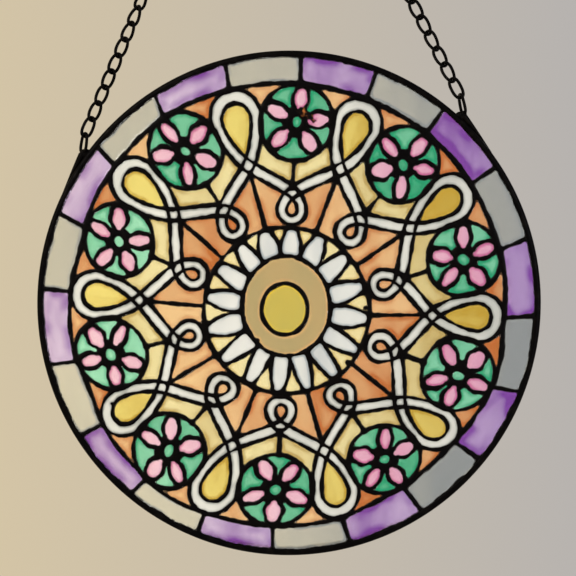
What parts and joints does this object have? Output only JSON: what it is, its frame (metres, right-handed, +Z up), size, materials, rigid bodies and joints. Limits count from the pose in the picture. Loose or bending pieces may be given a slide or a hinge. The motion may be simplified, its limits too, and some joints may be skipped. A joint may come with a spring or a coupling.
{
  "type": "stained glass suncatcher",
  "caption": "Round glass suncatcher: clear disc in a black metal rim, raised black outlines and coloured panes, twisted chains up to one hanging ring.",
  "frame": {"origin": "the point where the hook bears, at the inner top of the hanging ring", "axes": "+Z up; the disc hangs in the XZ plane with its front towards -Y and +X to the right as seen from the front"},
  "size_m": [0.25, 0.0066, 0.429],
  "materials": {
    "clear_glass": "polished",
    "black_relief": "semi-gloss",
    "black_rim": "satin",
    "black_wire": "satin",
    "purple_pane": "polished",
    "pale_pane": "polished",
    "orange_pane": "polished",
    "cream_pane": "polished",
    "yellow_pane": "polished",
    "green_pane": "polished",
    "pink_pane": "polished",
    "white_pane": "polished",
    "tan_pane": "polished"
  },
  "bodies": {
    "root": {"glass_disc": "clear_glass", "rim": "black_rim", "leading": "black_relief", "centre_ring": "black_relief", "hanging_ring": "black_wire", "hanging_loop_left": "black_wire", "hanging_loop_right": "black_wire", "chain_left": "black_wire", "chain_right": "black_wire"}
  },
  "joints": []
}
